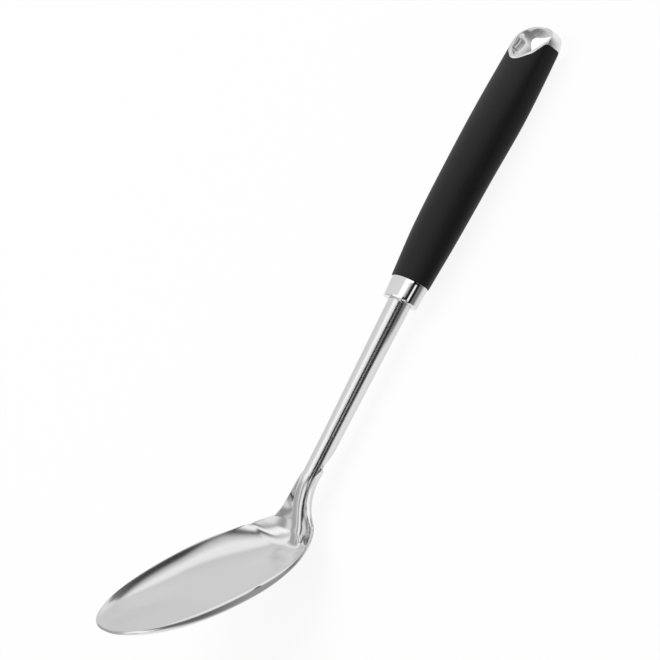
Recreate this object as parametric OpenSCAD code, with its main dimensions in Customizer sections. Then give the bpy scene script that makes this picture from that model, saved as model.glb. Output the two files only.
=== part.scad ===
// Cooking spoon with a pressed steel bowl on a rolled tube shank and a soft grip.
// Every piece is drawn with the handle's axis along +Y and its front facing +Z.
// The last step lays the whole spoon on its back on a table whose top is Z = 0.

/* [Bowl] */
// Width of the bowl inside its rim
bowl_w = 64.4; // [45:0.5:90]
// Length of the bowl inside its rim, from the tip to the shoulders
bowl_len = 102.4; // [70:0.5:140]
// Distance from the tip to the widest place
tip_len = 57.4; // [35:0.5:80]
// Depth of the bowl's floor below its rim
bowl_depth = 8.5; // [5:0.5:20]
// Thickness of the steel sheet
sheet = 1.2; // [0.8:0.1:2.5]
// How full the rim's outline is towards the tip
tip_fullness_share = 2.1; // [1.4:0.05:2.6]
// How round the rim's outline is at the tip
tip_round_share = 2.25; // [1.4:0.05:2.6]
// How full the rim's outline is towards the shoulders
heel_fullness_share = 2.85; // [1.5:0.05:4]
// Width at the shoulders as a share of the bowl's width
shoulder_share = 0.435; // [0.3:0.005:0.7]
// How flat the floor is before its side walls turn up
floor_flat_share = 5.5; // [2:0.5:10]
// How flat the floor is at the heel before its side walls turn up
heel_flat_share = 2.4; // [1.5:0.1:8]
// How flat the floor is before it rises to the tip
tip_flat_share = 2.6; // [2:0.5:10]
// Height by which the rim rises to the shoulders
rim_lift = 2.5; // [0:0.1:4]
// Share of the bowl's length where the rim starts to rise
lift_start_share = 0.8; // [0.3:0.05:0.9]

/* [Neck and shank] */
// Length of the rim above the heel, from the end of the flat floor to the shoulders
heel_run = 7.9; // [2:0.1:15]
// Radius of the heel where the floor turns up into the neck
heel_r = 13; // [8:0.5:20]
// Slope of the neck above the bowl's rim plane
neck_angle = 70; // [50:1:85]
// Straight length of the neck between its two bends
neck_len = 5; // [2:0.1:15]
// Radius of the bend from the neck into the shank
bend_r = 30; // [15:1:60]
// Slope of the shank and the handle above the bowl's rim plane
crank_angle = 39.2; // [25:0.5:50]
// Outer radius of the ridge at the neck
ridge_r = 4.35; // [3:0.05:6]
// Outer radius of the tube inside the handle
tube_r = 5.35; // [4:0.05:7]
// Length of the shank from its bend to the collar
shank_len = 86.7; // [50:0.5:120]
// Length of tube held inside the collar and the handle
tail_len = 66; // [30:1:90]
// Gap of the tube's seam at the back
seam = 0.5; // [0.2:0.1:1.5]
// Half angle of the rolled ridge where it leaves the bowl
ridge_angle = 105; // [90:1:150]
// Length of shank over which the webs die away
web_run = 19; // [4:0.5:30]
// How quickly the webs narrow along the neck
web_narrow_share = 4.6; // [0.6:0.1:6]
// How quickly the webs' edges fall in behind the ridge
web_fall_share = 1.55; // [0.4:0.05:3]
// Shares of the heel's turn where the ridge starts and over which it grows
ridge_start_share = 0.2; // [0:0.05:0.6]
ridge_grow_share = 0.5; // [0.2:0.05:0.8]
// Shares of the webs' length where they start to roll and over which they close
roll_start_share = 0.5; // [0:0.01:0.8]
roll_grow_share = 0.45; // [0.2:0.01:0.8]
// Half angle of the open tube where the webs end
open_angle = 120; // [100:1:170]
// Length of shank behind the webs over which the tube closes to its seam
close_len = 15; // [5:0.5:40]
// How flat the section is at the neck before it turns up
neck_flat_share = 1.6; // [1.2:0.1:3]

/* [Collar] */
// Length of the collar between the shank and the grip
collar_len = 10.3; // [6:0.1:16]
// Half width of the collar at the shank
collar_low_w = 9.5; // [7:0.1:12]
// Half thickness of the collar at the shank
collar_low_t = 7.1; // [6:0.1:10]
// Half width of the collar at the grip
collar_top_w = 10.2; // [8:0.1:14]
// Half thickness of the collar at the grip
collar_top_t = 7.3; // [6.5:0.1:11]
// Depth of the recess for the core's nose
recess_depth = 4; // [2:0.1:7]
// Wall of the collar round that recess
recess_wall = 0.9; // [0.5:0.1:2]

/* [Grip] */
// Length of the whole handle behind the collar
handle_len = 130.6; // [100:0.5:160]
// Places of the handle's measured sections as shares of its length
grip_low_share = 0.19; // [0.1:0.01:0.3]
grip_mid_share = 0.455; // [0.35:0.01:0.6]
grip_belly_share = 0.68; // [0.6:0.01:0.85]
// Half widths of the handle from the collar to its end
grip_w_start = 11; // [8:0.1:16]
grip_w_low = 12.2; // [8:0.1:16]
grip_w_mid = 12.6; // [8:0.1:16]
grip_w_belly = 12.9; // [8:0.1:16]
grip_w_end = 11.8; // [8:0.1:16]
// Distances from the axis to the front of the handle
grip_front_start = 7.5; // [4:0.1:14]
grip_front_low = 9.1; // [4:0.1:14]
grip_front_mid = 8.9; // [4:0.1:14]
grip_front_belly = 7.4; // [4:0.1:14]
grip_front_end = 4; // [1:0.1:14]
// Distances from the axis to the back of the handle
grip_back_start = 7.5; // [4:0.1:16]
grip_back_low = 8.8; // [4:0.1:16]
grip_back_mid = 10.1; // [4:0.1:16]
grip_back_belly = 11; // [4:0.1:18]
grip_back_end = 10.1; // [4:0.1:18]
// How square the back of the section is, from a plain oval to a box with round corners
square_start_share = 2; // [2:0.1:6]
square_low_share = 2.2; // [2:0.1:6]
square_mid_share = 2.6; // [2:0.1:6]
square_belly_share = 3.2; // [2:0.1:6]
square_end_share = 4; // [2:0.1:6]
// Wall of the soft sleeve round the core
sleeve_wall = 2.4; // [1.2:0.1:4]
// Length over which the handle's end rounds off
end_round = 8; // [4:0.1:14]
// Shares of the section's width and depth left at the very end
end_flat_share = 0.15; // [0.1:0.05:0.8]
end_deep_share = 0.6; // [0.1:0.05:0.8]
// Fullness of the rounded end in width and in depth
end_full_share = 2.2; // [1.6:0.1:4]
end_deep_full_share = 3.5; // [1.6:0.1:5]

/* [Hanging cap] */
// Distance from the handle's end back to the lowest point of the cap's mouth
mouth_back = 18.1; // [14:0.1:30]
// Height of that point in front of the axis
mouth_z = 5; // [2:0.1:10]
// Slant of the mouth against the handle's axis
mouth_slant = 21; // [0:1:40]
// Length of the hole along the axis
mouth_len = 17.2; // [10:0.1:24]
// Half width of the hole near its upper end
mouth_half = 10.7; // [6:0.1:12]
// Rise of the arch at the hole's upper end
mouth_arch = 1.7; // [0.2:0.1:3]
// Radius of the hole's rounded lower end and sides
mouth_low_r = 5.2; // [2:0.1:8]
// Place of the rounding of its sides, from the middle and from the lower end
mouth_side_x = 3.2; // [0:0.1:6]
mouth_side_y = 7.4; // [4:0.1:12]
// Radius of its two upper corners
mouth_top_r = 3.6; // [2:0.1:6]
// Width of the ring round the mouth
ring_w = 1.8; // [1:0.1:4]
// Depth of the ring's plate
ring_t = 2.2; // [1:0.1:4]
// Wall of the cap round the hole behind the ring
hole_wall = 0.8; // [0.5:0.1:3]
// Length of the cap's skirt from its lower edge to the handle's end
skirt_len = 8.5; // [4:0.1:14]
// Length, width and thickness of the cap's stem inside the core
stem_len = 13; // [8:0.5:25]
stem_w = 9; // [5:0.5:14]
stem_t = 4.4; // [3:0.1:7]
// Height of the stem's middle behind the axis
stem_z = 3; // [0:0.1:6]

/* [Fastening] */
// Radius and length of the cross pins
pin_r = 1.5; // [1:0.1:2.5]
pin_len = 18; // [12:0.5:20]
// Distance of the lower tube pin from the collar
pin_low_y = 20; // [10:0.5:30]
// Distance of the upper tube pin from the tube's end
pin_high_back = 15.7; // [10:0.1:25]
// Length of the plug inside the tube and of its head
plug_len = 6; // [3:0.5:12]
plug_head = 1.8; // [1:0.1:4]
// Running clearance between nested pieces
fit_gap = 0.1; // [0.05:0.01:0.3]

/* [Rest] */
// Angle by which the handle's axis rises towards its end
lay_angle = 0.358; // [-5:0.01:5]
// Height of the axis at the collar above the table
lift = 10.433; // [0:0.01:30]
// Shift along the table which centres the spoon
shift = 35.077; // [-60:0.01:60]

/* [Hidden] */
// Overrun of cuts past the solids they cut
over = 1;
// Points round the handle's section
ring_steps = 40;
// Distance by which the first station stands behind the rim's tip
tip_inset = 0.02;
// Steps round half of the ridge and along one web
arc_steps = 8;
web_steps = 12;
bowl_steps = 24;
heel_steps = 8;
neck_steps = 24;
close_steps = 4;
// Steps along the handle, up to its end's rounding and round it
loft_steps = 16;
end_steps = 6;
round_steps = 9;
// How closely the stations crowd at the tip and the points at the edges
tip_crowd_share = 1.6;
edge_crowd_share = 1.5;
// Share of the width which becomes the ridge
split_share = 0.4;
half_steps = arc_steps + web_steps;
floor_len = bowl_len - heel_run;
tube_end = tail_len - collar_len;
// Length of the holes drilled across for the pins
drill_len = 3 * grip_w_belly;
pin_high_y = tube_end - pin_high_back;
mouth_y = handle_len - mouth_back;
skirt_y = handle_len - skirt_len;
bend_len = bend_r * (neck_angle - crank_angle) * PI / 180;
rise_len = neck_len + bend_len;
heel_end = [floor_len + heel_r * sin(neck_angle), heel_r * (1 - cos(neck_angle)) - bowl_depth];

function mix(a, b, t) = a + (b - a) * t;
function ease(t) = let (c = min(max(t, 0), 1)) c * c * (3 - 2 * c);

// Half width of the bowl inside its rim at a distance from the tip.
function rim_half(y) = y < tip_len
    ? bowl_w / 2 * pow(1 - pow(1 - y / tip_len, tip_fullness_share), 1 / tip_round_share)
    : bowl_w / 2 * (1 - (1 - shoulder_share)
        * pow((y - tip_len) / (bowl_len - tip_len), heel_fullness_share));

// Height of the rim above its plane.
function rim_z(y) = let (start = bowl_len * lift_start_share)
    rim_lift * pow(max(y - start, 0) / (bowl_len - start), 2);

// Centre line of neck and shank above the heel: distance from the tip, height and slope.
function rise(s) = s < neck_len
    ? [heel_end[0] + s * cos(neck_angle), heel_end[1] + s * sin(neck_angle), neck_angle]
    : let (b = min(s - neck_len, bend_len), a = neck_angle - b / bend_r * 180 / PI,
           past = s - neck_len - b)
      [heel_end[0] + neck_len * cos(neck_angle) + bend_r * (sin(neck_angle) - sin(a)) + past * cos(a),
       heel_end[1] + neck_len * sin(neck_angle) + bend_r * (cos(a) - cos(neck_angle)) + past * sin(a),
       a];

// One station of the sheet: centre, slope, offset of the edge, half width,
// share of the ridge, its half angle, its radius, share rolled behind, flatness, share closed.
function bowl_station(y) =
    let (c = -bowl_depth * (1 - pow(max(1 - y / tip_len, 0), tip_flat_share)))
    [y, c, 0, 0, rim_z(y) - c, rim_half(y), 0, 90, ridge_r, 0,
     mix(floor_flat_share, heel_flat_share, ease((y - tip_len) / (floor_len - tip_len))), 0];
function heel_station(t) =
    let (a = neck_angle * t, y = floor_len + heel_r * sin(a), z = heel_r * (1 - cos(a)) - bowl_depth,
         e = mix(floor_len, bowl_len, t))
    [y, z, a, e - y, rim_z(e) - z, rim_half(e), ease((t - ridge_start_share) / ridge_grow_share), 90, ridge_r, 0,
     mix(heel_flat_share, neck_flat_share, ease(t)), 0];
function neck_station(t) =
    let (p = rise((rise_len + web_run) * t), n = [-sin(p[2]), cos(p[2])], d = [cos(p[2]), sin(p[2])],
         gap = [bowl_len - heel_end[0], rim_lift - heel_end[1]],
         e0 = gap * [-sin(neck_angle), cos(neck_angle)], h0 = gap * [cos(neck_angle), sin(neck_angle)],
         e = n * e0 * pow(1 - t, web_fall_share) + d * h0 * (1 - t))
    [p[0], p[1], p[2], e[0], e[1],
     mix(ridge_r, bowl_w / 2 * shoulder_share, pow(1 - t, web_narrow_share)), 1,
     mix(90, ridge_angle, t), ridge_r, ease((t - roll_start_share) / roll_grow_share), neck_flat_share, 0];
function shank_station(s) =
    let (p = rise(rise_len + s))
    [p[0], p[1], p[2], 0, 0, ridge_r, 1, ridge_angle,
     mix(ridge_r, tube_r, min((s - web_run) / (shank_len - web_run), 1)), 1,
     neck_flat_share, ease((s - web_run) / close_len)];

stations = concat(
    [for (j = [0:bowl_steps]) bowl_station(mix(tip_inset, floor_len, pow(j / bowl_steps, tip_crowd_share)))],
    [for (j = [1:heel_steps]) heel_station(j / heel_steps)],
    [for (j = [1:neck_steps]) neck_station(j / neck_steps)],
    [for (j = [1:close_steps]) shank_station(web_run + close_len * j / close_steps)],
    [for (s = [shank_len, shank_len + tail_len]) shank_station(s)]);

// Point of the sheet's front face at a station; j counts from the left edge to the right edge.
function front_point(s, j) =
    let (side = sign(j), m = abs(j), r = s[8], half = s[7], w = s[5],
         last = mix(open_angle, 180 - asin(seam / 2 / r), s[11]),
         k = min(m / arc_steps, 1), l = 1 - pow(1 - max(m - arc_steps, 0) / web_steps, edge_crowd_share),
         split = min(r, w * split_share),
         x1 = m <= arc_steps ? mix(split * k, r * sin(half * k), s[6])
                             : mix(mix(split, r * sin(half), s[6]), w, l),
         up1 = s[6] * r * cos(half * k) * (1 - l),
         share = mix(pow(min(x1 / w, 1), s[10]), pow(l, neck_flat_share), s[6]),
         a2 = m <= arc_steps ? half * k : mix(half, last, l),
         x = mix(x1, r * sin(a2), s[9] * (m <= arc_steps ? 0 : 1)),
         up = mix(up1, r * cos(a2), s[9] * (m <= arc_steps ? 0 : 1)),
         ahead = share * (m <= arc_steps ? 1 : 1 - s[9]))
    [side * x, s[0] + ahead * s[3] - up * sin(s[2]), s[1] + ahead * s[4] + up * cos(s[2])];

front = [for (s = stations) [for (j = [-half_steps:half_steps]) front_point(s, j)]];

function unit(v) = v / norm(v);
function back_point(i, j) =
    let (i0 = max(i - 1, 0), i1 = min(i + 1, len(front) - 1),
         j0 = max(j - 1, 0), j1 = min(j + 1, 2 * half_steps),
         n = unit(cross(front[i1][j] - front[i0][j], front[i][j1] - front[i][j0])))
    front[i][j] + sheet * n;

module sheet_body() {
    rows = len(front);
    cols = 2 * half_steps + 1;
    back = [for (i = [0:rows - 1]) [for (j = [0:cols - 1]) back_point(i, j)]];
    points = concat([for (r = front) each r], [for (r = back) each r]);
    top = rows * cols;
    faces = concat(
        [for (i = [0:rows - 2], j = [0:cols - 2])
            each [[i * cols + j, (i + 1) * cols + j, (i + 1) * cols + j + 1],
                  [i * cols + j, (i + 1) * cols + j + 1, i * cols + j + 1]]],
        [for (i = [0:rows - 2], j = [0:cols - 2])
            each [[top + i * cols + j, top + (i + 1) * cols + j + 1, top + (i + 1) * cols + j],
                  [top + i * cols + j, top + i * cols + j + 1, top + (i + 1) * cols + j + 1]]],
        [for (i = [0:rows - 2])
            each [[i * cols, top + i * cols, top + (i + 1) * cols],
                  [i * cols, top + (i + 1) * cols, (i + 1) * cols]]],
        [for (i = [0:rows - 2], j = [cols - 1])
            each [[i * cols + j, (i + 1) * cols + j, top + (i + 1) * cols + j],
                  [i * cols + j, top + (i + 1) * cols + j, top + i * cols + j]]],
        [for (j = [0:cols - 2], i = [0])
            each [[j, j + 1, top + j + 1], [j, top + j + 1, top + j]]],
        [for (j = [0:cols - 2], i = [rows - 1])
            each [[i * cols + j, top + i * cols + j, top + i * cols + j + 1],
                  [i * cols + j, top + i * cols + j + 1, i * cols + j + 1]]]);
    polyhedron(points, faces);
}

// Lays a piece drawn on the handle's axis down on the table.
module lay() {
    translate([0, shift, lift]) rotate([lay_angle, 0, 0]) children();
}

// Cylinder along the handle's axis from one distance to another.
module along(r, from, to) {
    translate([0, from, 0]) rotate([-90, 0, 0]) cylinder(r = r, h = to - from, $fn = 64);
}

// Cylinder across the handle at a distance from the collar.
module across(r, len, y, z) {
    translate([-len / 2, y, z]) rotate([0, 90, 0]) cylinder(r = r, h = len, $fn = 32);
}

// Half width, front and back of the handle at a distance from the collar.
stops = [0, grip_low_share, grip_mid_share, grip_belly_share, 1] * handle_len;
shape = [[grip_w_start, grip_front_start, grip_back_start, square_start_share],
         [grip_w_low, grip_front_low, grip_back_low, square_low_share],
         [grip_w_mid, grip_front_mid, grip_back_mid, square_mid_share],
         [grip_w_belly, grip_front_belly, grip_back_belly, square_belly_share],
         [grip_w_end, grip_front_end, grip_back_end, square_end_share]];
function slope(k) = let (a = max(k - 1, 0), b = min(k + 1, len(stops) - 1))
    (shape[b] - shape[a]) / (stops[b] - stops[a]);
function section(y) =
    let (k = y < stops[1] ? 0 : y < stops[2] ? 1 : y < stops[3] ? 2 : 3,
         h = stops[k + 1] - stops[k], t = (y - stops[k]) / h)
    shape[k] * (2 * t * t * t - 3 * t * t + 1) + slope(k) * h * (t * t * t - 2 * t * t + t)
    + shape[k + 1] * (3 * t * t - 2 * t * t * t) + slope(k + 1) * h * (t * t * t - t * t);

// Ring of points at a distance y round a section, shrunk to shares of its width and depth, and grown.
function ring(y, s, share, deep, grow) =
    [for (k = [0:ring_steps - 1]) let (a = 360 * k / ring_steps, c = cos(a), d = sin(a),
         bend = d < 0 ? 2 / s[3] : 1)
        [sign(c) * pow(abs(c), bend) * (s[0] * share + grow), y,
         sign(d) * pow(abs(d), bend) * ((d > 0 ? s[1] : s[2]) * deep + grow)]];

// Solid through a list of rings with flat ends.
module loft(rings) {
    n = len(rings[0]);
    m = len(rings);
    points = [for (r = rings) each r];
    faces = concat(
        [[for (k = [0:n - 1]) n - 1 - k]],
        [[for (k = [0:n - 1]) (m - 1) * n + k]],
        [for (i = [0:m - 2], k = [0:n - 1])
            each [[i * n + k, (i + 1) * n + (k + 1) % n, (i + 1) * n + k],
                  [i * n + k, i * n + (k + 1) % n, (i + 1) * n + (k + 1) % n]]]);
    polyhedron(points, faces);
}

// Handle's body between two distances, drawn in from its surface.
module handle_body(from, to, inset) {
    loft([for (i = [0:loft_steps]) let (y = mix(from, to, i / loft_steps)) ring(y, section(y), 1, 1, -inset)]);
}

// Handle's closed end, rounded seen from the front and less so from the side.
function fade(t, full) = pow(1 - pow(t, full), 1 / full);
function end_ring(t, grow) =
    ring(handle_len - end_round + (end_round + grow) * t, section(handle_len - end_round * (1 - t)),
         mix(end_flat_share, 1, fade(t, end_full_share)),
         mix(end_deep_share, 1, fade(t, end_deep_full_share)), grow);
module handle_end(from, grow) {
    start = handle_len - end_round;
    loft(concat(
        [for (i = [0:end_steps - 1]) let (y = mix(from, start, i / end_steps)) ring(y, section(y), 1, 1, grow)],
        [for (i = [0:round_steps]) end_ring(sin(90 * i / round_steps), grow)]));
}

// Everything behind the slanted plane of the mouth.
module behind_mouth(drop) {
    big = 2 * handle_len;
    translate([0, mouth_y, mouth_z]) rotate([-mouth_slant, 0, 0])
        translate([-big / 2, -big / 2, -big - drop]) cube(big);
}

// Outline of the hole seen from the front, grown outwards.
module hole_outline(grow) {
    top = mouth_y + mouth_len;
    corner_y = top - mouth_arch - mouth_top_r;
    hull() {
        translate([0, mouth_y + mouth_low_r]) circle(r = mouth_low_r + grow, $fn = 48);
        for (side = [-1, 1]) {
            translate([side * mouth_side_x, mouth_y + mouth_side_y]) circle(r = mouth_low_r + grow, $fn = 48);
            translate([side * (mouth_half - mouth_top_r), corner_y]) circle(r = mouth_top_r + grow, $fn = 48);
        }
        translate([0, top - 2 * mouth_arch])
            scale([mouth_half - mouth_top_r + grow, 2 * mouth_arch + grow]) circle(r = 1, $fn = 48);
    }
}
module hole_prism(grow, low, high) {
    translate([0, 0, low]) linear_extrude(high - low) hole_outline(grow);
}

// Cap without its hole, grown by a gap for the pieces that surround it.
cap_deep = 2 * grip_back_belly;
cap_low = mouth_y - hole_wall;
module cap_body(grow) {
    intersection() {
        handle_end(mouth_y - stem_len, grow);
        behind_mouth(-grow);
        union() {
            translate([-cap_deep, skirt_y - grow, -cap_deep]) cube(2 * cap_deep);
            difference() {
                hole_prism(ring_w + grow, -cap_deep, cap_deep);
                behind_mouth(ring_t + grow);
            }
            hole_prism(hole_wall + grow, -cap_deep, cap_deep);
        }
    }
}

// Stem of the cap, a flat tongue that reaches down into the core.
cap_pin_y = cap_low - stem_len / 2;
core_end = mouth_y - ring_w - 2 * fit_gap;
module cap_stem(grow) {
    translate([-stem_w / 2 - grow, cap_low - stem_len - grow, -stem_z - stem_t / 2 - grow])
        cube([stem_w + 2 * grow, stem_len + mouth_low_r + grow, stem_t + 2 * grow]);
}

module blade() {
    ref = rise(rise_len + shank_len + collar_len);
    color([0.8, 0.8, 0.82]) lay() difference() {
        rotate([-crank_angle, 0, 0]) translate([0, -ref[0], -ref[1]]) sheet_body();
        for (y = [pin_low_y, pin_high_y]) across(pin_r + fit_gap, drill_len, y, 0);
    }
}

module collar() {
    color([0.9, 0.9, 0.92]) lay() difference() {
        hull() {
            translate([0, -collar_len, 0]) rotate([-90, 0, 0])
                scale([collar_low_w, collar_low_t, 1]) cylinder(r = 1, h = fit_gap, $fn = 64);
            translate([0, -fit_gap, 0]) rotate([-90, 0, 0])
                scale([collar_top_w, collar_top_t, 1]) cylinder(r = 1, h = fit_gap, $fn = 64);
        }
        along(tube_r + fit_gap, -collar_len - over, over);
        nose(0, over);
    }
}

// Oval nose of the core inside the collar's recess.
module nose(shrink, longer) {
    translate([0, shrink - recess_depth, 0]) rotate([-90, 0, 0])
        scale([collar_top_w - 2 * recess_wall - shrink, collar_top_t - recess_wall - shrink, 1])
            cylinder(r = 1, h = recess_depth + longer, $fn = 64);
}

module handle_core() {
    socket = tube_end + plug_head + 2 * fit_gap;
    color([0.25, 0.25, 0.27]) lay() difference() {
        union() {
            handle_body(0, core_end, sleeve_wall + fit_gap / 2);
            nose(fit_gap, over);
        }
        along(tube_r + fit_gap, -recess_depth - over, socket);
        for (y = [pin_low_y, pin_high_y]) across(pin_r + fit_gap, drill_len, y, 0);
        cap_stem(fit_gap);
        across(pin_r + fit_gap, drill_len, cap_pin_y, -stem_z);
    }
}

module grip_sleeve() {
    color([0.08, 0.08, 0.09]) lay() difference() {
        intersection() {
            handle_body(0, skirt_y, 0);
            behind_mouth(0);
        }
        handle_body(-over, core_end + fit_gap, sleeve_wall);
        cap_body(fit_gap);
        cap_stem(fit_gap);
    }
}

module end_cap() {
    color([0.9, 0.9, 0.92]) lay() difference() {
        union() {
            cap_body(0);
            cap_stem(0);
        }
        hole_prism(0, -cap_deep - over, cap_deep + over);
        across(pin_r + fit_gap, drill_len, cap_pin_y, -stem_z);
    }
}

module cross_pin(y, z) {
    color([0.7, 0.7, 0.72]) lay() across(pin_r, pin_len, y, z);
}
module tang_pin_low() {
    cross_pin(pin_low_y, 0);
}
module tang_pin_high() {
    cross_pin(pin_high_y, 0);
}
module cap_pin() {
    cross_pin(cap_pin_y, -stem_z);
}

module tube_plug() {
    color([0.3, 0.3, 0.3]) lay() union() {
        along(tube_r - sheet - 2 * fit_gap, tube_end - plug_len, tube_end + fit_gap);
        along(tube_r - fit_gap, tube_end + fit_gap, tube_end + fit_gap + plug_head);
    }
}

blade();
collar();
handle_core();
grip_sleeve();
end_cap();
tang_pin_low();
tang_pin_high();
cap_pin();
tube_plug();
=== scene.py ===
import bpy, bmesh
from math import asin, cos, degrees, hypot, pi, radians, sin
from mathutils import Matrix, Vector


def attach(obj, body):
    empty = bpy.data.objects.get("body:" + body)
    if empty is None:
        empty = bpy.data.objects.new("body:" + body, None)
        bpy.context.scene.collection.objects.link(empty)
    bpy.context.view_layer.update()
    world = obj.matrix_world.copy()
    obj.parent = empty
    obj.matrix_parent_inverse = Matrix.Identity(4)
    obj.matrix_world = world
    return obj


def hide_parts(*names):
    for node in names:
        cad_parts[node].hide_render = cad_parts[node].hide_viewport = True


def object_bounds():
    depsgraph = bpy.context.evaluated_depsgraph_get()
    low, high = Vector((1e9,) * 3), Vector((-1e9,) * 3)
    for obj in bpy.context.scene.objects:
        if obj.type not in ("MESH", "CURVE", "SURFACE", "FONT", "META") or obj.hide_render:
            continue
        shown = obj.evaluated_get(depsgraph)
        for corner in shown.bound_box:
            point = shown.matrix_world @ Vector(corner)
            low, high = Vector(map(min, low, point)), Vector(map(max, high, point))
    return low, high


# A cooking spoon, dressed in satin steel, bright chrome and matt black soft-touch rubber.
# Sizes are in millimetres and angles in degrees. Each piece is made on the handle's axis, which
# runs along y from zero at the collar's upper end, and is laid on the table at the end.

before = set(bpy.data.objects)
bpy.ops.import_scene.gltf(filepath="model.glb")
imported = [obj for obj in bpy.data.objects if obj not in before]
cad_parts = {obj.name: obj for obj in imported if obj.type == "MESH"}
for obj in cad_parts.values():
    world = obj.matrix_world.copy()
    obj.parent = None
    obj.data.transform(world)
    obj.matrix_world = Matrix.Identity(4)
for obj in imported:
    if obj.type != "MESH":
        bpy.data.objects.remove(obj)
cad_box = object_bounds()
scene = bpy.context.scene
MM = 0.001

# Bowl, as in the solid
BOWL_W = 64.4
BOWL_LEN = 102.4
TIP_LEN = 57.4
BOWL_DEPTH = 8.5
SHEET = 1.2
SHOULDER = 0.435
RIM_LIFT = 2.5
LIFT_START = 0.8

# Powers of the bowl's and the neck's curves: a higher one is fuller or flatter
TIP_FULLNESS = 2.1
TIP_ROUND = 2.25
HEEL_FULLNESS = 2.85
FLOOR_FLAT = 5.5
HEEL_FLAT = 2.4
TIP_FLAT = 2.6
NECK_FLAT = 1.6

# Heel and neck, as in the solid
HEEL_RUN = 7.9
HEEL_R = 13.0
NECK_ANGLE = 70.0
NECK_LEN = 5.0
BEND_R = 30.0
CRANK = 39.2
RIDGE_R = 4.35
RIDGE_ANGLE = 105.0
FOOT_SHARE = 0.4
WEB_RUN = 19.0
WEB_NARROW = 4.6
WEB_FALL = 1.55
RIDGE_START, RIDGE_GROW = 0.2, 0.5
ROLL_START, ROLL_GROW = 0.5, 0.45

# Tube of the shank and its tail in the handle. Here it starts to close ahead of the bend's end,
# where the solid's starts behind the webs, and both are closed at the same place.
TUBE_R = 5.35
SHANK_LEN = 86.7
TAIL_LEN = 66.0
SEAM = 0.5
OPEN_ANGLE = 120.0
CLOSE_LEN = 15.0
CLOSE_EARLY = 8.0

# Collar: half widths across and up at its lower and its upper end, and its edges' rounding
COLLAR_LEN = 10.3
COLLAR_LOW = (9.5, 7.1)
COLLAR_TOP = (10.2, 7.3)
COLLAR_EDGE = 0.45

# Handle: half width, front, back and squareness of the back at five stops along it
HANDLE_LEN = 130.6
STOPS = [share * HANDLE_LEN for share in (0, 0.19, 0.455, 0.68, 1)]
SHAPE = [(11, 7.5, 7.5, 2), (12.2, 9.1, 8.8, 2.2), (12.6, 8.9, 10.1, 2.6), (12.9, 7.4, 11, 3.2),
         (11.8, 4, 10.1, 4)]
SLEEVE_WALL = 2.4
END_ROUND = 8.0
END_FLAT, END_FULL = 0.15, 2.2
END_DEEP, END_DEEP_FULL = 0.6, 3.5

# Hanging hole and the cap round it. The cap's stem isn't seen and isn't dressed, so its form
# starts a little below the hole.
MOUTH_BACK = 18.1
MOUTH_Y = HANDLE_LEN - MOUTH_BACK
MOUTH_Z = 5.0
MOUTH_SLANT = 21.0
MOUTH_LEN = 17.2
MOUTH_HALF = 10.7
MOUTH_ARCH = 1.7
MOUTH_SIDE = (3.2, 7.4)
MOUTH_LOW_R = 5.2
MOUTH_TOP_R = 3.6
RING_W = 1.8
RING_T = 2.2
HOLE_WALL = 0.8
FIT_GAP = 0.1
CAP_RUN = 3.0
CAP_START = MOUTH_Y - CAP_RUN
SKIRT_LEN = 8.5
SKIRT_Y = HANDLE_LEN - SKIRT_LEN
CORE_END = MOUTH_Y - RING_W - 2 * FIT_GAP

# How the spoon lies on the table
LAY_ANGLE = 0.358
LIFT = 10.433
SHIFT = 35.077
LAID = Matrix.Translation((0, SHIFT, LIFT)) @ Matrix.Rotation(radians(LAY_ANGLE), 4, "X")

# Steps across half of the sheet, along it, and round and along the other pieces
RIDGE_STEPS, WEB_STEPS, TIP_STEPS = 20, 44, 44
BOWL_STEPS, HEEL_STEPS, NECK_STEPS = 40, 30, 90
CLOSE_STEPS, SHANK_STEPS, TAIL_STEPS = 20, 12, 4
RING_POINTS, HOLE_POINTS = 120, 160
SLEEVE_STEPS, CORE_STEPS, CAP_STEPS, ROUND_STEPS = 120, 30, 24, 18
EDGE_STEPS, COLLAR_STEPS = 6, 8

# Rounding of cut edges, and the angles below which a surface is shaded smooth
SHEET_SOFT, CAP_SOFT, SOFT_STEPS, SOFT_ANGLE = 0.3, 0.28, 3, 50
ROUND_SHADE, GRIP_SHADE = 40, 32

# How far cutting tools reach, and what counts as one point or as no length
FAR = 150
THROUGH = 30
OVERRUN = 1
WELD = 1e-4
TINY = 1e-5


def dsin(a):
    return sin(radians(a))


def dcos(a):
    return cos(radians(a))


def mix(a, b, t):
    return a + (b - a) * t


def ease(t):
    t = min(max(t, 0), 1)
    return t * t * (3 - 2 * t)


def shares(count, first=0):
    """Even shares of a length, from first / count to 1."""
    return [i / count for i in range(first, count + 1)]


# Pressed and rolled sheet: the solid's form with finer steps, apart from the tube's early closing
# and the ridge's angle, which grows with the roll here and evenly along the webs there

FLOOR_LEN = BOWL_LEN - HEEL_RUN
BEND_LEN = BEND_R * radians(NECK_ANGLE - CRANK)
RISE_LEN = NECK_LEN + BEND_LEN
HEEL_END = (FLOOR_LEN + HEEL_R * dsin(NECK_ANGLE), HEEL_R * (1 - dcos(NECK_ANGLE)) - BOWL_DEPTH)


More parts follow.
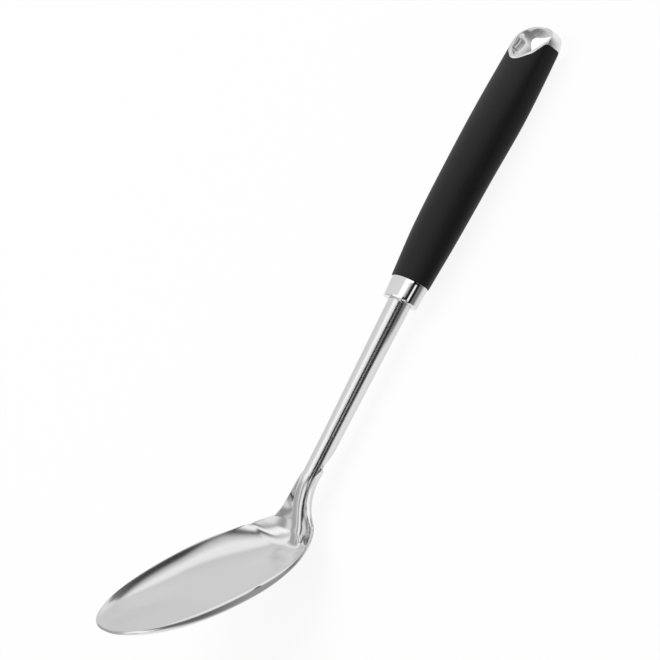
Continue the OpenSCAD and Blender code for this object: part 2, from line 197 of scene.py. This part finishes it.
class Station:
    """Cross section of the sheet: the place and slope of its middle, the way from there to its
    edge, its half width and flatness, its ridge, and the shares that have rolled and closed."""

    def __init__(self, y, z, slope, edge_y, edge_z, half_width, flat, ridge=0, ridge_angle=90,
                 ridge_r=RIDGE_R, rolled=0, closed=0):
        self.y, self.z, self.slope = y, z, slope
        self.edge_y, self.edge_z = edge_y, edge_z
        self.half_width, self.flat = half_width, flat
        self.ridge, self.ridge_angle, self.ridge_r = ridge, ridge_angle, ridge_r
        self.rolled, self.closed = rolled, closed
        self.foot = min(ridge_r, half_width * FOOT_SHARE)

    def on_ridge(self, share):
        """Distance out, height and share of the way to the edge, at a share of half the ridge."""
        angle = self.ridge_angle * share
        x = mix(self.foot * share, self.ridge_r * dsin(angle), self.ridge)
        out = min(x / self.half_width, 1) ** self.flat * (1 - self.ridge)
        return x, self.ridge * self.ridge_r * dcos(angle), out

    def on_web(self, share):
        """The same at a share of the way from the ridge's foot to the edge."""
        r, wide = self.ridge_r, self.half_width
        x = mix(mix(self.foot, r * dsin(self.ridge_angle), self.ridge), wide, share)
        up = self.ridge * r * dcos(self.ridge_angle) * (1 - share)
        out = mix(min(x / wide, 1) ** self.flat, share ** NECK_FLAT, self.ridge)
        shut = 180 - degrees(asin(SEAM / 2 / r))
        angle = mix(self.ridge_angle, mix(OPEN_ANGLE, shut, self.closed), share)
        x = mix(x, r * dsin(angle), self.rolled)
        up = mix(up, r * dcos(angle), self.rolled)
        return x, up, out * (1 - self.rolled)

    def point(self, side, over_ridge, over_web):
        """Point on the front: over_ridge runs from 0 to 1, and then over_web from 0 to 1."""
        x, up, out = self.on_web(over_web) if over_web else self.on_ridge(over_ridge)
        return Vector((side * x, self.y + out * self.edge_y - up * dsin(self.slope),
                       self.z + out * self.edge_z + up * dcos(self.slope)))


def rim_half(y):
    if y < TIP_LEN:
        return BOWL_W / 2 * (1 - (1 - y / TIP_LEN) ** TIP_FULLNESS) ** (1 / TIP_ROUND)
    back = (y - TIP_LEN) / (BOWL_LEN - TIP_LEN)
    return BOWL_W / 2 * (1 - (1 - SHOULDER) * back ** HEEL_FULLNESS)


def rim_z(y):
    start = BOWL_LEN * LIFT_START
    return RIM_LIFT * (max(y - start, 0) / (BOWL_LEN - start)) ** 2


def floor_z(y):
    return -BOWL_DEPTH * (1 - max(1 - y / TIP_LEN, 0) ** TIP_FLAT)


def rise(s):
    """Place and slope of the sheet's middle at a length above the heel."""
    if s < NECK_LEN:
        return HEEL_END[0] + s * dcos(NECK_ANGLE), HEEL_END[1] + s * dsin(NECK_ANGLE), NECK_ANGLE
    bent = min(s - NECK_LEN, BEND_LEN)
    past = s - NECK_LEN - bent
    slope = NECK_ANGLE - degrees(bent / BEND_R)
    y = NECK_LEN * dcos(NECK_ANGLE) + BEND_R * (dsin(NECK_ANGLE) - dsin(slope)) + past * dcos(slope)
    z = NECK_LEN * dsin(NECK_ANGLE) + BEND_R * (dcos(slope) - dcos(NECK_ANGLE)) + past * dsin(slope)
    return HEEL_END[0] + y, HEEL_END[1] + z, slope


def closing(s):
    """How far the tube is closed at a length above the bend."""
    return ease((s + CLOSE_EARLY) / (WEB_RUN + CLOSE_LEN + CLOSE_EARLY))


def bowl_station(y):
    flat = mix(FLOOR_FLAT, HEEL_FLAT, ease((y - TIP_LEN) / (FLOOR_LEN - TIP_LEN)))
    return Station(y, floor_z(y), 0, 0, rim_z(y) - floor_z(y), rim_half(y), flat)


def heel_station(t):
    slope = NECK_ANGLE * t
    y = FLOOR_LEN + HEEL_R * dsin(slope)
    z = HEEL_R * (1 - dcos(slope)) - BOWL_DEPTH
    edge = mix(FLOOR_LEN, BOWL_LEN, t)
    return Station(y, z, slope, edge - y, rim_z(edge) - z, rim_half(edge),
                   mix(HEEL_FLAT, NECK_FLAT, ease(t)), ridge=ease((t - RIDGE_START) / RIDGE_GROW))


def neck_station(t):
    """The webs, whose edges start at the shoulders, narrow and fall in, and roll in at the end."""
    y, z, slope = rise((RISE_LEN + WEB_RUN) * t)
    gap_y, gap_z = BOWL_LEN - HEEL_END[0], RIM_LIFT - HEEL_END[1]
    stand = (gap_z * dcos(NECK_ANGLE) - gap_y * dsin(NECK_ANGLE)) * (1 - t) ** WEB_FALL
    lead = (gap_y * dcos(NECK_ANGLE) + gap_z * dsin(NECK_ANGLE)) * (1 - t)
    edge_y = dcos(slope) * lead - dsin(slope) * stand
    edge_z = dcos(slope) * stand + dsin(slope) * lead
    half_width = mix(RIDGE_R, BOWL_W / 2 * SHOULDER, (1 - t) ** WEB_NARROW)
    rolled = ease((t - ROLL_START) / ROLL_GROW)
    return Station(y, z, slope, edge_y, edge_z, half_width, NECK_FLAT, ridge=1,
                   ridge_angle=mix(90, RIDGE_ANGLE, rolled), rolled=rolled,
                   closed=closing((RISE_LEN + WEB_RUN) * t - RISE_LEN))


def shank_station(s):
    y, z, slope = rise(RISE_LEN + s)
    widened = min((s - WEB_RUN) / (SHANK_LEN - WEB_RUN), 1)
    return Station(y, z, slope, 0, 0, RIDGE_R, NECK_FLAT, ridge=1, ridge_angle=RIDGE_ANGLE,
                   ridge_r=mix(RIDGE_R, TUBE_R, widened), rolled=1, closed=closing(s))


def tip_point(share, beta, side):
    """Point of the bowl ahead of its widest place, on a ring at a share of the way to the rim."""
    y = TIP_LEN * (1 - sin(beta) ** (2 / TIP_FULLNESS) * share)
    x = share * BOWL_W / 2 * cos(beta) ** (2 / TIP_ROUND)
    out = 1 if share > 1 - TINY else min(x / rim_half(y), 1) ** FLOOR_FLAT
    return Vector((side * x, y, floor_z(y) * (1 - out)))


def all_stations():
    """From the bowl's widest place to the end of the tail."""
    closed = WEB_RUN + CLOSE_LEN
    return ([bowl_station(mix(TIP_LEN, FLOOR_LEN, t)) for t in shares(BOWL_STEPS)]
            + [heel_station(t) for t in shares(HEEL_STEPS, 1)]
            + [neck_station(t) for t in shares(NECK_STEPS, 1)]
            + [shank_station(mix(WEB_RUN, closed, t)) for t in shares(CLOSE_STEPS, 1)]
            + [shank_station(mix(closed, SHANK_LEN, t)) for t in shares(SHANK_STEPS, 1)]
            + [shank_station(SHANK_LEN + TAIL_LEN * t) for t in shares(TAIL_STEPS, 1)])


def sheet_front():
    """Front of the sheet, in lines from the tail along one side, round the tip and back."""
    across = [(t, 0) for t in shares(RIDGE_STEPS)] + [(1, t) for t in shares(WEB_STEPS, 1)]
    stations = all_stations()
    widest = stations[0]
    quarter = [pi / 2 * t for t in shares(TIP_STEPS, 1)]
    bm = bmesh.new()
    lines = []
    for place in across:
        share = widest.point(1, *place).x / widest.half_width
        line = [station.point(-1, *place) for station in reversed(stations)]
        line += [tip_point(share, beta, -1) for beta in quarter]
        line += [tip_point(share, beta, 1) for beta in reversed(quarter[:-1])]
        line += [station.point(1, *place) for station in stations]
        lines.append([bm.verts.new(p) for p in line])
    for inner, outer in zip(lines, lines[1:]):
        for i in range(len(inner) - 1):
            bm.faces.new((inner[i], outer[i], outer[i + 1], inner[i + 1]))
    bmesh.ops.remove_doubles(bm, verts=bm.verts, dist=WELD)
    bmesh.ops.dissolve_degenerate(bm, dist=TINY, edges=bm.edges)
    bm.normal_update()
    if sum(face.normal.z for face in bm.faces) < 0:
        bmesh.ops.reverse_faces(bm, faces=bm.faces)
        bm.normal_update()
    return bm


def thicken(bm, depth):
    """Give an open sheet its back, one thickness behind the front, and its edges."""
    rim = [edge for edge in bm.edges if len(edge.link_faces) == 1]
    front = list(bm.faces)
    twin = {v: bm.verts.new(v.co - v.normal * depth) for v in list(bm.verts)}
    for face in front:
        bm.faces.new([twin[v] for v in reversed(face.verts)])
    for edge in rim:
        corner = next(c for c in edge.link_faces[0].loops if c.edge == edge)
        a, b = corner.vert, corner.link_loop_next.vert
        bm.faces.new((b, a, twin[a], twin[b]))
    bm.normal_update()


def build_sheet():
    """Bowl, webs, ridge and tube in one sheet, turned so that the tube lies on the handle's axis."""
    bm = sheet_front()
    thicken(bm, SHEET)
    y, z = rise(RISE_LEN + SHANK_LEN + COLLAR_LEN)[:2]
    turn = Matrix.Rotation(radians(-CRANK), 4, "X") @ Matrix.Translation((0, -y, -z))
    bmesh.ops.transform(bm, matrix=turn, verts=bm.verts)
    return bm


# Handle: sections and rings, as in the solid

def section(y):
    """Half width, front, back and squareness at y, on a smooth curve through the stops."""
    last = len(STOPS) - 1
    k = next((i for i in range(last) if y < STOPS[i + 1]), last - 1)

    def slope(i):
        a, b = max(i - 1, 0), min(i + 1, last)
        return [(q - p) / (STOPS[b] - STOPS[a]) for p, q in zip(SHAPE[a], SHAPE[b])]

    step = STOPS[k + 1] - STOPS[k]
    t = (y - STOPS[k]) / step
    over = t * t * (3 - 2 * t)
    leave, arrive = step * t * (1 - t) ** 2, step * t * t * (t - 1)
    return [mix(p, q, over) + m * leave + n * arrive
            for p, q, m, n in zip(SHAPE[k], SHAPE[k + 1], slope(k), slope(k + 1))]


def signed_power(v, power):
    return (1 if v > 0 else -1) * abs(v) ** power


def ring(y, shape, grow, wide=1, deep=1):
    """Outline of the handle at y, whose half width and depths take the shares wide and deep."""
    half, front, back, square = shape
    points = []
    for i in range(RING_POINTS):
        across, up = dcos(360 * i / RING_POINTS), dsin(360 * i / RING_POINTS)
        power = 2 / square if up < 0 else 1
        depth = front if up > 0 else back
        points.append(Vector((signed_power(across, power) * (half * wide + grow), y,
                              signed_power(up, power) * (depth * deep + grow))))
    return points


def loft(rings, closed=False):
    """Mesh through rings with as many points each, capped or closed into a tube."""
    bm = bmesh.new()
    rows = [[bm.verts.new(p) for p in points] for points in rings]
    count = len(rows[0])
    pairs = list(zip(rows, rows[1:]))
    if closed:
        pairs.append((rows[-1], rows[0]))
    for a, b in pairs:
        for i in range(count):
            bm.faces.new((a[i], b[i], b[(i + 1) % count], a[(i + 1) % count]))
    if not closed:
        bm.faces.new(rows[0])
        bm.faces.new(list(reversed(rows[-1])))
    bm.normal_update()
    bmesh.ops.recalc_face_normals(bm, faces=bm.faces)
    return bm


def handle_rings(start, end, grow, steps):
    return [ring(y, section(y), grow) for y in (mix(start, end, t) for t in shares(steps))]


def rounded(t, least, power):
    """Share of the width that is left at a share of the rounded end."""
    return mix(least, 1, max(1 - t ** power, 0) ** (1 / power))


def handle_end(start, grow):
    """The handle from start to its end, which is rounder seen from the front than from the side."""
    turn = HANDLE_LEN - END_ROUND
    rings = handle_rings(start, turn, grow, CAP_STEPS)[:-1]
    for t in (dsin(90 * share) for share in shares(ROUND_STEPS)):
        rings.append(ring(turn + (END_ROUND + grow) * t, section(turn + END_ROUND * t), grow,
                          rounded(t, END_FLAT, END_FULL), rounded(t, END_DEEP, END_DEEP_FULL)))
    return loft(rings)


def hole_outline(grow):
    """Outline of the hanging hole seen from the front, as the hull of its rounded corners."""
    top = MOUTH_Y + MOUTH_LEN
    low, high = MOUTH_LOW_R, MOUTH_TOP_R
    corners = [(0, MOUTH_Y + low, low, low)]
    for side in (-1, 1):
        corners.append((side * MOUTH_SIDE[0], MOUTH_Y + MOUTH_SIDE[1], low, low))
        corners.append((side * (MOUTH_HALF - high), top - MOUTH_ARCH - high, high, high))
    corners.append((0, top - 2 * MOUTH_ARCH, MOUTH_HALF - high, 2 * MOUTH_ARCH))
    points = []
    for i in range(HOLE_POINTS):
        across, along = dcos(360 * i / HOLE_POINTS), dsin(360 * i / HOLE_POINTS)
        furthest = []
        for x, y, wide, long in corners:
            wide, long = wide + grow, long + grow
            reach = hypot(wide * across, long * along)
            furthest.append((x * across + y * along + reach,
                             (x + wide * wide * across / reach, y + long * long * along / reach)))
        points.append(max(furthest, key=lambda found: found[0])[1])
    return points


def hole_prism(grow):
    outline = hole_outline(grow)
    return loft([[Vector((x, y, z)) for x, y in outline] for z in (-THROUGH, THROUGH)])


def block(low, high):
    bm = bmesh.new()
    bmesh.ops.create_cube(bm, size=1)
    for v in bm.verts:
        v.co = Vector([mix(a, b, c + 0.5) for a, b, c in zip(low, high, v.co)])
    return bm


def slanted_block(drop):
    """Everything ahead of the mouth's slanted plane, which is lowered by drop."""
    bm = block((-FAR, -FAR, -drop), (FAR, FAR, 2 * FAR - drop))
    place = Matrix.Translation((0, MOUTH_Y, MOUTH_Z)) @ Matrix.Rotation(radians(-MOUTH_SLANT), 4, "X")
    bmesh.ops.transform(bm, matrix=place, verts=bm.verts)
    return bm


# From meshes to pieces

def to_object(bm, name, laid=True):
    if laid:
        bmesh.ops.transform(bm, matrix=LAID, verts=bm.verts)
    bmesh.ops.scale(bm, vec=(MM, MM, MM), verts=bm.verts)
    mesh = bpy.data.meshes.new(name)
    bm.to_mesh(mesh)
    bm.free()
    obj = bpy.data.objects.new(name, mesh)
    scene.collection.objects.link(obj)
    return obj


def apply_modifiers(obj):
    bpy.context.view_layer.update()
    shown = obj.evaluated_get(bpy.context.evaluated_depsgraph_get())
    made = bpy.data.meshes.new_from_object(shown)
    obj.modifiers.clear()
    old, obj.data = obj.data, made
    bpy.data.meshes.remove(old)


def combine(base, *steps):
    """Join, cut or keep the common part with other closed pieces, which are used up."""
    for how, other in steps:
        cut = base.modifiers.new(how, "BOOLEAN")
        cut.operation, cut.solver, cut.object = how, "EXACT", other
    apply_modifiers(base)
    for _, other in steps:
        bpy.data.objects.remove(other)
    return base


def tool(bm):
    return to_object(bm, "tool")


def soften(obj, width):
    """Round the sharp edges."""
    soft = obj.modifiers.new("soft_edges", "BEVEL")
    soft.width, soft.segments = width * MM, SOFT_STEPS
    soft.limit_method, soft.angle_limit = "ANGLE", radians(SOFT_ANGLE)
    soft.harden_normals = False
    apply_modifiers(obj)


def shade(obj, angle):
    """Shade a piece smooth, apart from edges that are sharper than an angle."""
    obj.data.shade_smooth()
    obj.data.set_sharp_from_angle(angle=radians(angle))


def circle(y, wide, high):
    """Round or oval ring at y with these half widths."""
    turns = (360 * i / RING_POINTS for i in range(RING_POINTS))
    return [Vector((dcos(a) * wide, y, dsin(a) * high)) for a in turns]


def build_collar():
    """Tapered oval ring with soft edges, open for the tube."""
    def oval(y, inset):
        t = (y + COLLAR_LEN) / COLLAR_LEN
        return circle(y, *(mix(a, b, t) - inset for a, b in zip(COLLAR_LOW, COLLAR_TOP)))

    bore = TUBE_R + FIT_GAP
    edge = [(COLLAR_EDGE * (1 - dsin(90 * t)), COLLAR_EDGE * (1 - dcos(90 * t)))
            for t in shares(EDGE_STEPS)]
    low = [oval(in_from_end - COLLAR_LEN, inset) for in_from_end, inset in reversed(edge)]
    side = [oval(mix(COLLAR_EDGE - COLLAR_LEN, -COLLAR_EDGE, t), 0)
            for t in shares(COLLAR_STEPS, 1)[:-1]]
    top = [oval(-in_from_end, inset) for in_from_end, inset in edge]
    bore_low, bore_top = circle(-COLLAR_LEN, bore, bore), circle(0, bore, bore)
    return loft([bore_low] + low + side + top + [bore_top], closed=True)


def build_cap(grow, name):
    """The cap without its hole. Grown by the fit, it is the room that the sleeve leaves for it."""
    plate = combine(tool(hole_prism(RING_W + grow)),
                    ("INTERSECT", tool(slanted_block(RING_T + grow))))
    skirt = tool(block((-THROUGH, SKIRT_Y - grow, -THROUGH),
                       (THROUGH, HANDLE_LEN + THROUGH, THROUGH)))
    kept = combine(tool(hole_prism(HOLE_WALL + grow)), ("UNION", plate), ("UNION", skirt))
    form = to_object(handle_end(CAP_START, grow), name)
    return combine(form, ("INTERSECT", kept), ("DIFFERENCE", tool(slanted_block(-grow))))


def build_sleeve():
    """Soft skin of the handle, with room for the cap and the core."""
    sleeve = to_object(loft(handle_rings(0, SKIRT_Y, 0, SLEEVE_STEPS)), "soft_sleeve")
    core = loft(handle_rings(-OVERRUN, CORE_END + FIT_GAP, -SLEEVE_WALL, CORE_STEPS))
    return combine(sleeve, ("DIFFERENCE", build_cap(FIT_GAP, "room")),
                   ("DIFFERENCE", tool(slanted_block(0))), ("DIFFERENCE", tool(core)))


spoon = to_object(build_sheet(), "pressed_spoon")
soften(spoon, SHEET_SOFT)
shade(spoon, ROUND_SHADE)

collar = to_object(build_collar(), "neck_ring")
shade(collar, ROUND_SHADE)

cap = combine(build_cap(0, "hanging_cap"), ("DIFFERENCE", tool(hole_prism(0))))
soften(cap, CAP_SOFT)
shade(cap, GRIP_SHADE)

sleeve = build_sleeve()
shade(sleeve, GRIP_SHADE)


# Node trees are written as expressions on sockets

class Socket:
    """Output of a node, on which maths adds further nodes."""

    def __init__(self, web, out):
        self.web, self.out = web, out

    def math(self, how, *others):
        values = dict(enumerate((self,) + others))
        return self.web.node("ShaderNodeMath", {"operation": how}, values)

    def after(self, how, first):
        """Maths in which this socket comes second."""
        return self.web.node("ShaderNodeMath", {"operation": how}, {0: first, 1: self})

    def __add__(self, other):
        return self.math("ADD", other)

    def __radd__(self, other):
        return self.after("ADD", other)

    def __sub__(self, other):
        return self.math("SUBTRACT", other)

    def __rsub__(self, other):
        return self.after("SUBTRACT", other)

    def __mul__(self, other):
        return self.math("MULTIPLY", other)

    def __rmul__(self, other):
        return self.after("MULTIPLY", other)

    def __truediv__(self, other):
        return self.math("DIVIDE", other)

    def __rtruediv__(self, other):
        return self.after("DIVIDE", other)

    def clamp(self):
        return self.web.node("ShaderNodeClamp", {}, {0: self})

    def part(self, axis):
        return self.web.node("ShaderNodeSeparateXYZ", {}, {0: self}, out=axis)

    def step(self, start, end, low=0.0, high=1.0):
        """Smooth step from one level to another between two places."""
        return self.web.node("ShaderNodeMapRange", {"interpolation_type": "SMOOTHSTEP"},
                             {0: self, 1: start, 2: end, 3: low, 4: high})


def tone(v):
    return (v, v, v, 1)


def set_stops(ramp, stops):
    """Give a ramp its stops, as places from 0 to 1 and grey levels."""
    while len(ramp.elements) > 1:
        ramp.elements.remove(ramp.elements[-1])
    for i, (place, level) in enumerate(stops):
        stop = ramp.elements[0] if i == 0 else ramp.elements.new(place)
        stop.position, stop.color = place, tone(level)


class Web:
    """Node tree of a material or the world."""

    def __init__(self, owner):
        owner.use_nodes = True
        self.tree = owner.node_tree
        self.tree.nodes.clear()

    def node(self, kind, settings=None, values=None, out=0):
        """Add a node: its type, its settings, then the values or links of its sockets."""
        n = self.tree.nodes.new(kind)
        for key, setting in (settings or {}).items():
            if key == "stops":
                set_stops(n.color_ramp, setting)
            else:
                setattr(n, key, setting)
        for key, value in (values or {}).items():
            if isinstance(value, Socket):
                self.tree.links.new(value.out, n.inputs[key])
            else:
                n.inputs[key].default_value = value
        return Socket(self, n.outputs[out])

    def blend(self, share, a, b):
        """Mix two colours."""
        return self.node("ShaderNodeMix", {"data_type": "RGBA"}, {0: share, 6: a, 7: b}, out=2)

    def spread(self, *waves):
        """Place on the piece, as counts per metre across the spoon, along it and up."""
        place = self.node("ShaderNodeTexCoord", out="Object")
        return self.node("ShaderNodeMapping", {}, {"Vector": place, "Scale": waves})

    def noise(self, waves, detail):
        return self.node("ShaderNodeTexNoise", {},
                         {"Vector": self.spread(*waves), "Scale": 1.0, "Detail": detail})

    def bump(self, height, strength, depth):
        return self.node("ShaderNodeBump", {},
                         {"Strength": strength, "Distance": depth * MM, "Height": height})

    def surface(self, **values):
        """Principled surface, whose sockets are named with underscores for spaces."""
        named = {key.replace("_", " "): value for key, value in values.items()}
        return self.node("ShaderNodeBsdfPrincipled", {}, named)

    def ray(self, kind):
        return self.node("ShaderNodeLightPath", out=kind)

    def seen(self):
        """One for what the camera sees, straight or through glass."""
        return self.ray("Is Camera Ray") + self.ray("Is Transmission Ray")

    def finish(self, kind, shader):
        self.tree.links.new(shader.out, self.tree.nodes.new(kind).inputs["Surface"])


def satin_steel(web):
    """Stainless sheet with a fine grain drawn along the spoon and a faint haze from washing."""
    grain = web.noise((3200, 160, 3200), 4.0)
    haze = web.noise((45, 30, 45), 3.0)
    return web.surface(Base_Color=web.blend(haze.clamp(), tone(0.8), tone(0.84)), Metallic=1.0,
                       Roughness=0.18 + 0.03 * (grain - 0.5) + 0.05 * (haze - 0.5),
                       Normal=web.bump(grain, 0.03, 0.05))


def bright_chrome(web):
    """Polished plating with the faintest unevenness."""
    haze = web.noise((120, 120, 120), 3.0)
    return web.surface(Base_Color=web.blend(haze.clamp(), tone(0.86), tone(0.9)), Metallic=1.0,
                       Roughness=0.05 + 0.04 * haze, Normal=web.bump(haze, 0.06, 0.2))


def soft_grip(web):
    """Matt black soft-touch skin with a fine moulded pebble and slight polish from the hand."""
    pebble = web.node("ShaderNodeTexVoronoi", {"feature": "F1"},
                      {"Vector": web.spread(2600, 2600, 2600), "Scale": 1.0})
    dust = web.noise((60, 35, 60), 4.0)
    return web.surface(Base_Color=web.blend(dust.clamp(), tone(0.006), tone(0.01)),
                       Roughness=0.5 + 0.08 * (dust - 0.5), Specular_IOR_Level=0.3,
                       Normal=web.bump(pebble, 0.12, 0.05))


def core_plastic(web):
    """Plain grey moulded plastic."""
    grain = web.noise((900, 900, 900), 2.0)
    return web.surface(Base_Color=web.blend(grain.clamp(), tone(0.03), tone(0.04)),
                       Roughness=0.45 + 0.1 * grain, Normal=web.bump(grain, 0.1, 0.04))


def pin_steel(web):
    """Drawn wire with fine rings round it."""
    grain = web.noise((3000, 400, 400), 2.0)
    return web.surface(Base_Color=web.blend(grain.clamp(), tone(0.6), tone(0.68)), Metallic=1.0,
                       Roughness=0.25 + 0.1 * grain)


def make_material(make):
    """Material with the name of the function that makes its surface."""
    material = bpy.data.materials.new(make.__name__)
    web = Web(material)
    web.finish("ShaderNodeOutputMaterial", make(web))
    return material


MATERIALS = {make.__name__: make_material(make)
             for make in (satin_steel, bright_chrome, soft_grip, core_plastic, pin_steel)}


def dress(piece, node, slot):
    """Put a piece in the place of a solid, inside the box of all solids."""
    for v in piece.data.vertices:
        v.co = [min(max(c, low), high) for c, low, high in zip(v.co, *cad_box)]
    piece.data.materials.clear()
    piece.data.materials.append(MATERIALS[slot])
    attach(piece, "root")
    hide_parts(node)


dress(spoon, "blade", "satin_steel")
dress(collar, "collar", "bright_chrome")
dress(cap, "end_cap", "bright_chrome")
dress(sleeve, "grip_sleeve", "soft_grip")

# The solids inside the handle are shown as they are
INNER = {"handle_core": "core_plastic", "tube_plug": "core_plastic",
         "tang_pin_low": "pin_steel", "tang_pin_high": "pin_steel", "cap_pin": "pin_steel"}
for node, slot in INNER.items():
    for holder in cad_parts[node].material_slots:
        holder.material = MATERIALS[slot]


# Studio: a white table, pale walls with strips that only reflections show, and one broad lamp.
# The table's half width is in millimetres. Other places in the studio and the lamp's sizes are
# in metres, and levels are grey tones.

TABLE_HALF = 6000
BOARD_TONE = 0.9
WHITE_SHARE, MIRROR_SHARE, WHITE_GLOW = 0.88, 0.8, 1.02
WALL_LIGHT = 0.55
STRIP_LEAN, STRIP_PIVOT = 120, 0.75
LAMP_PLACE = Vector((-0.5, 0.1, 1.5))
LAMP_SIZE = (1.2, 1.6)
LAMP_WATTS = 11


def white_table(web):
    """Plain white board. The camera sees it a little brighter, so that it meets the white
    background. Only reflections see the painted reflections on it: painted shade beside the bowl and
    under the hanging hole, and painted pale and dark patches beside the shank and the grip, where no
    cards stand."""
    mirrors = web.ray("Is Glossy Ray")
    place = web.node("ShaderNodeTexCoord", out="Object")
    side, along = place.part("X"), place.part("Y")
    # Painted shade: only reflections see the board darker on the +X side of the bowl, where the
    # spoon's shadow falls.
    painted_shade_by_bowl = side.step(-0.01, 0.014, 0.9, along.step(-0.17, -0.125, 0.02, 0.33))
    # Painted reflection: only reflections see the board turn dark further out on the +X side, beside
    # the shank and the grip.
    painted_dark_by_shank = side.step(0.03, 0.11, 0.9, 0.3)
    painted_dark_by_grip = side.step(0.01, 0.03, 0.9, 0.02)
    painted_reflections = web.blend(along.step(0.0, 0.02), painted_dark_by_shank, painted_dark_by_grip)
    painted_reflections = web.blend(along.step(-0.1, -0.06), painted_shade_by_bowl, painted_reflections)
    # Painted reflection: only reflections see the board grey, far out on the -X side.
    painted_reflections = web.blend(side.step(-0.16, -0.05), tone(0.66), painted_reflections)
    # Painted shade: only reflections see the board dark under the hanging hole.
    painted_shade_in_hole = along.step(0.138, 0.146) * along.step(0.168, 0.156)
    painted_shade_in_hole = painted_shade_in_hole * side.step(-0.03, -0.008) * side.step(0.01, 0.004)
    painted_reflections = web.blend(painted_shade_in_hole, painted_reflections, tone(0.18))
    board = web.node("ShaderNodeBsdfDiffuse", {}, {"Color": tone(BOARD_TONE)})
    glow = web.node("ShaderNodeEmission", {},
                    {"Color": web.blend(mirrors, tone(1.0), painted_reflections), "Strength": WHITE_GLOW})
    share = (WHITE_SHARE * web.seen() + MIRROR_SHARE * mirrors).clamp()
    return web.node("ShaderNodeMixShader", {}, {0: share, 1: board, 2: glow})


def build_table():
    bm = bmesh.new()
    bmesh.ops.create_grid(bm, x_segments=1, y_segments=1, size=TABLE_HALF)
    table = to_object(bm, "table", laid=False)
    table.data.materials.append(make_material(white_table))
    return table


def strips(web, angle, *stops):
    """Brightness of the walls round the spoon's long axis. A stop is an angle in degrees, from
    straight up towards +X, and a level."""
    return web.node("ShaderNodeValToRGB",
                    {"stops": [(degree / 360 + 0.5, level) for degree, level in stops]}, {0: angle})


def build_walls():
    """White to the camera, an even light to matt surfaces, and strips to reflections. The strips
    change with the reflection's lean along the spoon, from the tip to the handle's end."""
    scene.world = bpy.data.worlds.new("studio")
    web = Web(scene.world)
    way = web.node("ShaderNodeTexCoord", out="Generated")
    across, forwards, up = (way.part(axis) for axis in "XYZ")
    angle = across.math("ARCTAN2", up) / (2 * pi) + 0.5
    leaning = angle - (forwards - STRIP_PIVOT) * (STRIP_LEAN / 360)
    towards_tip = strips(web, angle, (-180, 0.5), (-60, 0.42), (-20, 0.5), (-12, 0.8), (0, 0.8),
                         (6, 0.35), (18, 0.35), (24, 1.0), (47, 1.0), (52, 0.04), (100, 0.04),
                         (115, 0.5))
    straight_out = strips(web, angle, (-180, 0.75), (-44, 0.75), (-41, 0.35), (-37, 0.35),
                          (-34, 1.1), (16, 1.1), (20, 0.02), (53, 0.02), (56, 1.05), (66, 1.05),
                          (69, 0.02), (120, 0.02), (130, 0.5))
    slightly_to_end = strips(web, angle, (-180, 0.7), (-12, 0.75), (-9, 1.15), (33, 1.15),
                             (37, 0.0), (100, 0.0), (115, 0.5))
    towards_end = strips(web, leaning, (-180, 0.66), (-90, 0.75), (-70, 0.75), (-40, 0.66),
                         (-24, 0.95), (13, 1.0), (30, 0.75), (46, 0.5), (52, 0.04), (95, 0.04),
                         (110, 0.6))
    mirrored = web.blend(forwards.step(0.06, 0.09), straight_out, slightly_to_end)
    mirrored = web.blend(forwards.step(-0.14, 0.0), towards_tip, mirrored)
    mirrored = web.blend(forwards.step(0.22, 0.34), mirrored, towards_end)
    sky = web.blend(web.ray("Is Glossy Ray"), tone(WALL_LIGHT), mirrored)
    sky = web.blend(web.seen(), sky, tone(1.0))
    web.finish("ShaderNodeOutputWorld",
               web.node("ShaderNodeBackground", {}, {"Color": sky, "Strength": 1.0}))


def build_lamp():
    """Broad lamp overhead, beyond the spoon, aimed at the origin and hidden from reflections."""
    data = bpy.data.lights.new("broad_lamp", "AREA")
    data.shape, data.energy = "RECTANGLE", LAMP_WATTS
    data.size, data.size_y = LAMP_SIZE
    lamp = bpy.data.objects.new("broad_lamp", data)
    lamp.location = LAMP_PLACE
    lamp.rotation_euler = (-LAMP_PLACE).to_track_quat("-Z", "Y").to_euler()
    lamp.visible_glossy = False
    scene.collection.objects.link(lamp)


build_table()
build_walls()
build_lamp()


# Camera: a long lens at the photograph's angle, placed from the handle's axis like the pieces.
# The lens's length and the point that it is aimed at are in pixels of the photograph.

PHOTO_SIZE = 660
LENS_PIXELS = 4086.16443
AIM_PIXEL = (361.11, 350.29)
SENSOR = 36
EYE = Vector((1432.0503, -293.4917, 1067.1803))
GAZE = Vector((-0.7955835, 0.142085, -0.5889472)).normalized()
UPRIGHT = Vector((-0.1682209, 0.8820778, 0.440046))
CLIP_NEAR, CLIP_FAR = 0.05, 50


def build_camera():
    data = bpy.data.cameras.new("camera")
    data.sensor_width = SENSOR
    data.lens = LENS_PIXELS * SENSOR / PHOTO_SIZE
    data.shift_x = 0.5 - AIM_PIXEL[0] / PHOTO_SIZE
    data.shift_y = AIM_PIXEL[1] / PHOTO_SIZE - 0.5
    data.clip_start, data.clip_end = CLIP_NEAR, CLIP_FAR
    camera = bpy.data.objects.new("camera", data)
    scene.collection.objects.link(camera)
    right = GAZE.cross(UPRIGHT).normalized()
    turn = LAID.to_3x3() @ Matrix((right, right.cross(GAZE), -GAZE)).transposed()
    camera.matrix_world = Matrix.Translation(LAID @ EYE * MM) @ turn.to_4x4()
    return camera


scene.camera = build_camera()
scene.view_settings.view_transform = "Standard"
